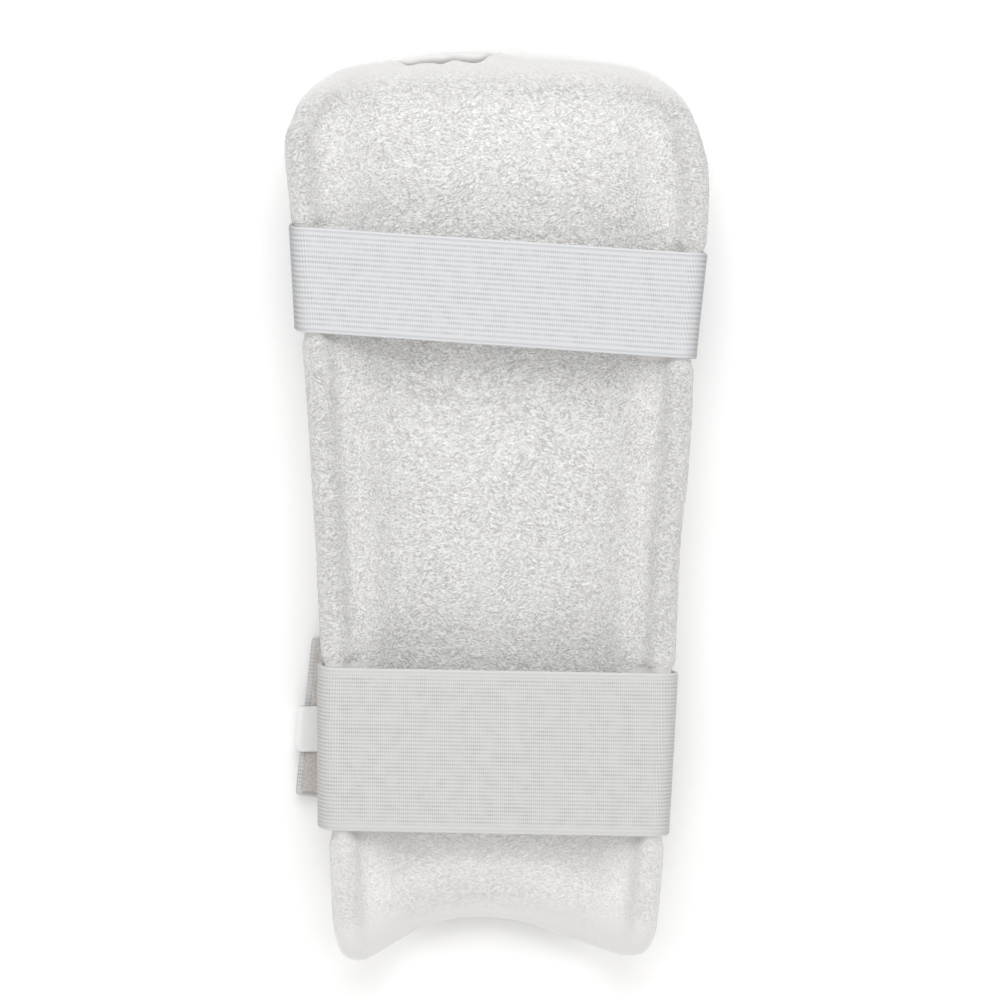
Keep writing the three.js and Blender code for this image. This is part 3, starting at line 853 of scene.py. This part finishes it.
def hook_tape():
    """The tape on the free end's inner side, its hooks as a rough face."""
    half = LOWER_STRAP_WIDTH / 2 - TAPE_MARGIN
    across = np.linspace(-half, half, HOOK_ROWS)
    shift = across[:, None]
    belly = flat_stations(LOWER_ROUTE, np.linspace(PATCH_LENGTH / 2, -HALF_BELLY, HOOK_BELLY_STEPS), shift)
    tail = tail_stations(LOWER_ROUTE, shift, TAPE_HEM - HEM_OVERLAP, HOOK_TAIL_STEPS)
    points, ways = joined([belly, tail])
    rough = np.random.default_rng(HOOK_SEED).uniform(-HOOK_ROUGHNESS, 0.0, points.shape[:2])
    return band("hook_tape", points, ways, -SEWN_GAP - TAPE_WALL - rough, -SEWN_GAP, across)


TAB_ROWS = 16
TAB_STEPS = 8
TAB_TURNS = 11
TAB_LOOP = 1.5
TAB_CHAMFER = 1.9
TAB_DROP = 0.6


def strap_tab():
    """A tape that lies under the free end, turns round its edge and comes back over it."""
    middle = TAB_OFFSET - TAB_DROP
    across = np.linspace(middle - TAB_WIDTH / 2, middle + TAB_WIDTH / 2, TAB_ROWS)
    tip = tail_stations(LOWER_ROUTE, across[:, None], 0, 2)[0][:, 1]
    tip[:, 0] += np.maximum(TAB_CHAMFER - (across - across[0]), 0)
    down = TAIL_WAY
    along = np.array([down[2], 0, -down[0]])
    low = STRAP_WALL + SEWN_GAP
    high = -(2 * SEWN_GAP + TAPE_WALL)
    centre, radius = (low + high) / 2, (low - high) / 2
    step = TAB_REACH / TAB_STEPS
    places = [(k * step - TAB_REACH, low, 0.0, 1.0) for k in range(TAB_STEPS)]
    for turn in np.linspace(0, math.pi, TAB_TURNS):
        sine, cosine = math.sin(turn), math.cos(turn)
        places.append((TAB_LOOP * sine, centre + radius * cosine, sine, cosine))
    places += [(-k * step, high, 0.0, -1.0) for k in range(1, TAB_STEPS + 1)]
    places = np.array(places)
    points = tip[:, None] + places[None, :, :1] * along + places[None, :, 1:2] * down
    ways = unit(places[:, 2:3] * along + places[:, 3:4] * down)
    return band("pull_tab", points, np.broadcast_to(ways, points.shape), 0.0, TAB_WALL, across)


PATCH_ROWS = 50
PATCH_STEPS = 60


def patch(name, route, strap_width, thickness):
    """A tape patch on the belly, turned with its strap."""
    rows = np.linspace(-1, 1, PATCH_ROWS) * (strap_width / 2 - TAPE_MARGIN)
    along, across = np.meshgrid(np.linspace(-PATCH_LENGTH / 2, PATCH_LENGTH / 2, PATCH_STEPS), rows)
    turn = math.atan(float(return_y(route, 1.0) - return_y(route, 0.0)))
    top = BELLY_MIDDLE - RIM_RADIUS - SEWN_GAP
    points = np.stack([
        along * math.cos(turn) - across * math.sin(turn),
        float(return_y(route, 0.0)) + along * math.sin(turn) + across * math.cos(turn),
        np.full_like(along, top - thickness)], axis=-1)
    ways = np.zeros_like(points)
    ways[..., 2] = 1
    return band(name, points, ways, 0.0, thickness, rows)


# Materials


def new_material(name, base, roughness):
    """A material, its node tree and its shader's sockets."""
    material = bpy.data.materials.new(name)
    material.use_nodes = True
    sockets = material.node_tree.nodes["Principled BSDF"].inputs
    sockets["Base Color"].default_value = (*base, 1)
    sockets["Roughness"].default_value = roughness
    return material, material.node_tree, sockets


def node(tree, kind, inputs, **settings):
    """A node. Its inputs, by name or number, get a constant or a link from another socket."""
    made = tree.nodes.new(kind)
    for key, value in settings.items():
        setattr(made, key, value)
    for key, value in inputs.items():
        if isinstance(value, bpy.types.NodeSocket):
            tree.links.new(value, made.inputs[key])
        else:
            made.inputs[key].default_value = value
    return made


def maths(tree, operation, *values):
    return node(tree, "ShaderNodeMath", dict(enumerate(values)), operation=operation).outputs["Value"]


def ranged(tree, value, start, stop, low=0.0, high=1.0):
    """From low to high while the value goes from start to stop."""
    inputs = {"Value": value, "From Min": start, "From Max": stop, "To Min": low, "To Max": high}
    return node(tree, "ShaderNodeMapRange", inputs).outputs["Result"]


def mixed(tree, share, first, second):
    inputs = {"Factor": share, 2: first, 3: second}
    return node(tree, "ShaderNodeMix", inputs, data_type="FLOAT").outputs[0]


def mixed_colour(tree, share, first, second, blend="MIX"):
    inputs = {"Factor": share, 6: first, 7: second}
    return node(tree, "ShaderNodeMix", inputs, data_type="RGBA", blend_type=blend).outputs[2]


def noise_texture(tree, place, scale, detail, roughness=0.5, distortion=0.0):
    inputs = {"Vector": place, "Scale": scale, "Detail": detail, "Roughness": roughness,
              "Distortion": distortion}
    return node(tree, "ShaderNodeTexNoise", inputs).outputs["Fac"]


def place_on(tree):
    return node(tree, "ShaderNodeTexCoord", {}).outputs["Object"]


def point_value(tree, name):
    """A value that the piece's points carry."""
    return node(tree, "ShaderNodeAttribute", {}, attribute_name=name).outputs["Fac"]


def colour_surface(tree, sockets, colour, shade):
    """The base colour is the colour times the shade."""
    tree.links.new(mixed_colour(tree, 1.0, colour, shade, "MULTIPLY"), sockets["Base Color"])


def add_bump(tree, sockets, height, distance, strength):
    inputs = {"Height": height, "Distance": distance, "Strength": strength}
    tree.links.new(node(tree, "ShaderNodeBump", inputs).outputs["Normal"], sockets["Normal"])


# The pile's look: streaks, fibres and clumps by their fineness, then its colour, the painted shade in its
# hollows and on flat pile, and the painted shade on the rim
STREAKS = 1850.0
STREAK_STRETCH = 2.0
LEAN_RISE = (0.5, 0.6)
LEAN_FALL = (0.5, 0.4)
FIBRES = 2600.0
FIBRE_SHARE = 0.3
CLUMPS = 620.0
CLUMP_LEAN = 8
CLUMP_SHARE = 0.2
PILE_BUMP = 0.0009
PILE_DEPTHS = (0.61, 0.89)
FLAT_SHADE = 0.45
ROLLED_SHADE = 0.18
TOWEL_LIGHT = (0.97, 0.967, 0.965)
TOWEL_PAINTED_SHADE = (0.56, 0.55, 0.54)


def leaning_noise(tree, place, lean, fineness):
    """Noise drawn out along a lean."""
    turn = {"Vector": place, "Location": (lean, 0, 0), "Rotation": (0, 0, math.radians(-lean))}
    turned = node(tree, "ShaderNodeMapping", turn).outputs["Vector"]
    stretch = {"Vector": turned, "Scale": (1 / STREAK_STRETCH, 1, 1)}
    drawn = node(tree, "ShaderNodeMapping", stretch).outputs["Vector"]
    return noise_texture(tree, drawn, fineness, 2.0, 0.55, 0.5)


def pile_relief(tree):
    """Streaks whose lean changes in patches, with fine fibres and larger clumps over them."""
    place = place_on(tree)
    left, even, right = (leaning_noise(tree, place, lean, STREAKS) for lean in LEANS)
    patches = noise_texture(tree, place, 1000 / LEAN_PATCH, 1.0)
    height = mixed(tree, ranged(tree, patches, *LEAN_RISE), even, right)
    height = mixed(tree, ranged(tree, patches, *LEAN_FALL), height, left)
    height = maths(tree, "MULTIPLY_ADD", noise_texture(tree, place, FIBRES, 2.0), FIBRE_SHARE, height)
    clumps = leaning_noise(tree, place, CLUMP_LEAN, CLUMPS)
    return maths(tree, "MULTIPLY_ADD", clumps, CLUMP_SHARE, height)


def towel_material():
    """Loops of pile with painted shade between them, one even painted shade where they lie flat, and
    painted shade on the rim.
    """
    material, tree, sockets = new_material("towelling", TOWEL_LIGHT, 1.0)
    sockets["Sheen Weight"].default_value = 0.7
    sockets["Sheen Roughness"].default_value = 0.6
    sockets["Specular IOR Level"].default_value = 0.1
    height = pile_relief(tree)
    free = point_value(tree, "pile")
    add_bump(tree, sockets, height, PILE_BUMP, free)
    # Painted shade between the loops, where their hollows lie in shade, and an even painted shade on
    # flattened pile
    painted_hollow_shade = maths(tree, "SUBTRACT", 1.0 - FLAT_SHADE, ranged(tree, height, *PILE_DEPTHS))
    painted_hollow_shade = maths(tree, "MULTIPLY_ADD", painted_hollow_shade, free, FLAT_SHADE)
    colour = mixed_colour(tree, painted_hollow_shade, (*TOWEL_LIGHT, 1), (*TOWEL_PAINTED_SHADE, 1))
    # Painted shade from the rim, wall and belly shares: darkest on the rim, which rolls away from the light
    shade = maths(tree, "MULTIPLY_ADD", point_value(tree, "rolled"), -ROLLED_SHADE, 1.0)
    colour_surface(tree, sockets, colour, shade)
    return material


# The weave's look: the picks across the ribs, its unevenness, the painted shade in its hollows, painted
# highlights and shade at its edges, and the painted shade where it bends away from the light
UPPER_PICK = 0.65
LOWER_PICK = 0.62
PICKS_FADE = 0.3
UNEVEN = 260.0
SWELL = (1.6, -0.2)
RIB_SHADE_FROM = 0.7
WEAVE_BUMP = 0.00012
WEAVE_DEPTHS = (0.6, -2.0)
WEAVE_SHADE = 0.46
EDGE_HIGHLIGHT = 1.12
RIB_HIGHLIGHT = 1.04
UPPER_BENT_SHADE = 0.44
LOWER_BENT_SHADE = 0.22


def weave_relief(tree, rib, pick, bent, from_edge):
    """Ribs along the strap with picks across them, which fade where it bends, and none on the selvedges."""
    place = node(tree, "ShaderNodeUVMap", {}, uv_map="weave").outputs["UV"]
    split = node(tree, "ShaderNodeSeparateXYZ", {"Vector": place}).outputs

    def wave(axis, period):
        return maths(tree, "COSINE", maths(tree, "MULTIPLY", split[axis], 2 * math.pi / (period * MM)))

    picks = maths(tree, "MULTIPLY", wave("X", pick), ranged(tree, bent, 0.0, PICKS_FADE, 1.0, 0.0))
    weave = maths(tree, "ADD", picks, wave("Y", rib))
    uneven = noise_texture(tree, place, UNEVEN, 2.0)
    weave = maths(tree, "MULTIPLY", weave, maths(tree, "MULTIPLY_ADD", uneven, *SWELL))
    ribbed = ranged(tree, from_edge, RIB_SHADE_FROM * SELVEDGE * MM, SELVEDGE * MM)
    return maths(tree, "MULTIPLY", weave, ribbed)


def distance_from_edge(tree, width):
    place = node(tree, "ShaderNodeUVMap", {}, uv_map="weave").outputs["UV"]
    split = node(tree, "ShaderNodeSeparateXYZ", {"Vector": place}).outputs
    return maths(tree, "SUBTRACT", width / 2 * MM, maths(tree, "ABSOLUTE", split["Y"]))


def selvedge_colour(tree, from_edge, base, groove):
    """A painted highlight at the very edge, then painted shade in a groove, then a faint painted highlight
    on the first rib, then the ribs' colour.
    """
    stops = ((0.0, EDGE_HIGHLIGHT), (0.18, EDGE_HIGHLIGHT), (0.3, groove), (0.45, groove), (0.6, RIB_HIGHLIGHT),
             (1.0, 1.0))
    ramp = node(tree, "ShaderNodeValToRGB", {"Fac": ranged(tree, from_edge, 0.0, SELVEDGE * MM)})
    elements = ramp.color_ramp.elements
    for place, shade in stops[2:]:
        elements.new(place)
    for element, (place, shade) in zip(elements, stops):
        element.position = place
        element.color = (*(min(1.0, shade * part) for part in base), 1)
    return ramp.outputs["Color"]


def elastic_material(name, base, width, rib, pick, groove, bent_shade):
    """A ribbed weave, with painted shade in its hollows and where the strap bends away from the light."""
    material, tree, sockets = new_material(name, base, 0.75)
    sockets["Sheen Weight"].default_value = 0.15
    sockets["Specular IOR Level"].default_value = 0.25
    bent = point_value(tree, "bent")
    from_edge = distance_from_edge(tree, width)
    weave = weave_relief(tree, rib, pick, bent, from_edge)
    add_bump(tree, sockets, weave, WEAVE_BUMP, 0.5)
    painted_hollow_shade = ranged(tree, weave, *WEAVE_DEPTHS, 0.0, WEAVE_SHADE)
    shade = maths(tree, "SUBTRACT", 1.0, painted_hollow_shade)
    # Painted shade where the strap bends away from the light
    shade = maths(tree, "SUBTRACT", shade, maths(tree, "MULTIPLY", bent, bent_shade))
    colour_surface(tree, sockets, selvedge_colour(tree, from_edge, base, groove), shade)
    return material


GRAIN_STEPS = (0.3, 0.7)


def grain_material(name, base, roughness, scale, height, dark=0.9, groove=0.0):
    """A finish with a fine uneven grain, and painted shade in a groove where one is marked."""
    material, tree, sockets = new_material(name, base, roughness)
    grain = noise_texture(tree, place_on(tree), scale, 4.0, 0.6)
    add_bump(tree, sockets, grain, height, 0.6)
    ramp = node(tree, "ShaderNodeValToRGB", {"Fac": grain})
    for element, position, shade in zip(ramp.color_ramp.elements, GRAIN_STEPS, (dark, 1)):
        element.position = position
        element.color = (*(shade * part for part in base), 1)
    if groove:
        shade = maths(tree, "MULTIPLY_ADD", point_value(tree, "groove"), -groove, 1.0)
        colour_surface(tree, sockets, ramp.outputs["Color"], shade)
    else:
        tree.links.new(ramp.outputs["Color"], sockets["Base Color"])
    return material


def dress(obj, material, slot, *replaced):
    obj.data.materials.append(material)
    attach(obj, BODY)
    if replaced:
        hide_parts(*replaced)
    return obj


# Making the guard

FACING_COLOUR = (0.74, 0.73, 0.725)
UPPER_COLOUR = (0.65, 0.66, 0.68)
LOWER_COLOUR = (0.62, 0.62, 0.61)
HOOK_COLOUR = (0.64, 0.60, 0.565)
TAB_COLOUR = (0.79, 0.79, 0.79)

LOOP_COLOUR = (0.7, 0.7, 0.7)

lining = dress(towel_lining(), towel_material(), "towelling", "towel_lining")
# Painted shade in the facing's seam groove
facing_finish = grain_material("facing", FACING_COLOUR, roughness=0.45, scale=900.0, height=0.00008,
                               dark=0.95, groove=0.5)
facing_piece = dress(facing(), facing_finish, "facing", "padded_facing")
# The groove values give the painted shade in the selvedges' grooves
upper_weave = elastic_material("upper_elastic", UPPER_COLOUR, UPPER_ELASTIC_WIDTH, UPPER_RIB, UPPER_PICK,
                               groove=0.86, bent_shade=UPPER_BENT_SHADE)
upper = dress(elastic("upper_elastic", UPPER_ROUTE, UPPER_ELASTIC_WIDTH, UPPER_RIB), upper_weave,
              "elastic", "upper_strap")
lower_weave = elastic_material("lower_elastic", LOWER_COLOUR, LOWER_ELASTIC_WIDTH, LOWER_RIB, LOWER_PICK,
                               groove=0.95, bent_shade=LOWER_BENT_SHADE)
lower = dress(elastic("lower_elastic", LOWER_ROUTE, LOWER_ELASTIC_WIDTH, LOWER_RIB), lower_weave,
              "elastic", "lower_strap")
hook_finish = grain_material("hook_tape", HOOK_COLOUR, roughness=0.9, scale=1400.0, height=0.0004, dark=0.6)
hooks = dress(hook_tape(), hook_finish, "hook_tape", "lower_hook_tape")
tab_finish = grain_material("tab", TAB_COLOUR, roughness=0.55, scale=2500.0, height=0.00004, dark=0.96)
tab = dress(strap_tab(), tab_finish, "tab", "strap_tab")
loop_finish = grain_material("loop_tape", LOOP_COLOUR, roughness=1.0, scale=2200.0, height=0.0004, dark=0.8)
lower_patch = dress(patch("loop_patch", LOWER_ROUTE, LOWER_STRAP_WIDTH, TAPE_WALL), loop_finish,
                    "loop_tape", "lower_loop_patch")
upper_patch = dress(patch("fastening_patch", UPPER_ROUTE, UPPER_STRAP_WIDTH, 2 * TAPE_WALL + SEWN_GAP),
                    loop_finish, "loop_tape", "upper_fastening_patch")

# Floor, light and camera

FLOOR_HALF = 3.0
WHITE_FLOOR = (0.93, 0.93, 0.93)
WORLD_COLOUR = (1.0, 0.98, 0.955)
WORLD_STRENGTH = 0.68
LIGHT_COLOUR = (0.97, 0.985, 1.0)
LIT_PLACE = Vector((0, 0, 0))

# The camera looks straight down, so far off that a photo's pixel is this long at the rims
CAMERA_HEIGHT = 1.235
RIM_HEIGHT = 0.034
PIXEL = 0.30 * MM
PHOTO_SIZE = 1000
PHOTO_MIDDLE = (0.9 * MM, 2.0 * MM)
SENSOR = 36


def floor():
    low, high = -FLOOR_HALF, FLOOR_HALF
    corners = [(low, low, 0), (high, low, 0), (high, high, 0), (low, high, 0)]
    mesh = bpy.data.meshes.new("floor")
    mesh.from_pydata(corners, [], [(0, 1, 2, 3)])
    obj = bpy.data.objects.new("floor", mesh)
    bpy.context.scene.collection.objects.link(obj)
    obj.data.materials.append(grain_material("floor", WHITE_FLOOR, roughness=0.9, scale=40.0, height=0.0,
                                             dark=0.99))


def soft_light(name, place, size, power):
    """A square light that faces the guard."""
    data = bpy.data.lights.new(name, "AREA")
    data.energy = power
    data.size = size
    data.color = LIGHT_COLOUR
    obj = bpy.data.objects.new(name, data)
    obj.location = place
    obj.rotation_euler = (LIT_PLACE - Vector(place)).to_track_quat("-Z", "Y").to_euler()
    bpy.context.scene.collection.objects.link(obj)


def studio():
    """An even pale dome, a soft light beyond the elbow end and weaker ones on the other sides."""
    world = bpy.data.worlds.new("studio")
    world.use_nodes = True
    background = world.node_tree.nodes["Background"]
    background.inputs["Color"].default_value = (*WORLD_COLOUR, 1)
    background.inputs["Strength"].default_value = WORLD_STRENGTH
    bpy.context.scene.world = world
    soft_light("key_light", (0.0, 0.75, 0.95), size=0.9, power=6.6)
    soft_light("fill_light", (0.0, -1.6, 1.3), size=1.2, power=9.5)
    for side in (-1, 1):
        soft_light(f"side_light_{side}", (1.2 * side, 0.0, 0.85), size=0.7, power=3.2)
    bpy.context.scene.view_settings.view_transform = "Standard"


def camera():
    data = bpy.data.cameras.new("camera")
    data.sensor_width = SENSOR
    data.lens = SENSOR * (CAMERA_HEIGHT - RIM_HEIGHT) / (PHOTO_SIZE * PIXEL)
    obj = bpy.data.objects.new("camera", data)
    obj.location = (PHOTO_MIDDLE[0] + SHIFT[0] * MM, PHOTO_MIDDLE[1] + SHIFT[1] * MM, CAMERA_HEIGHT)
    bpy.context.scene.collection.objects.link(obj)
    bpy.context.scene.camera = obj


floor()
studio()
camera()
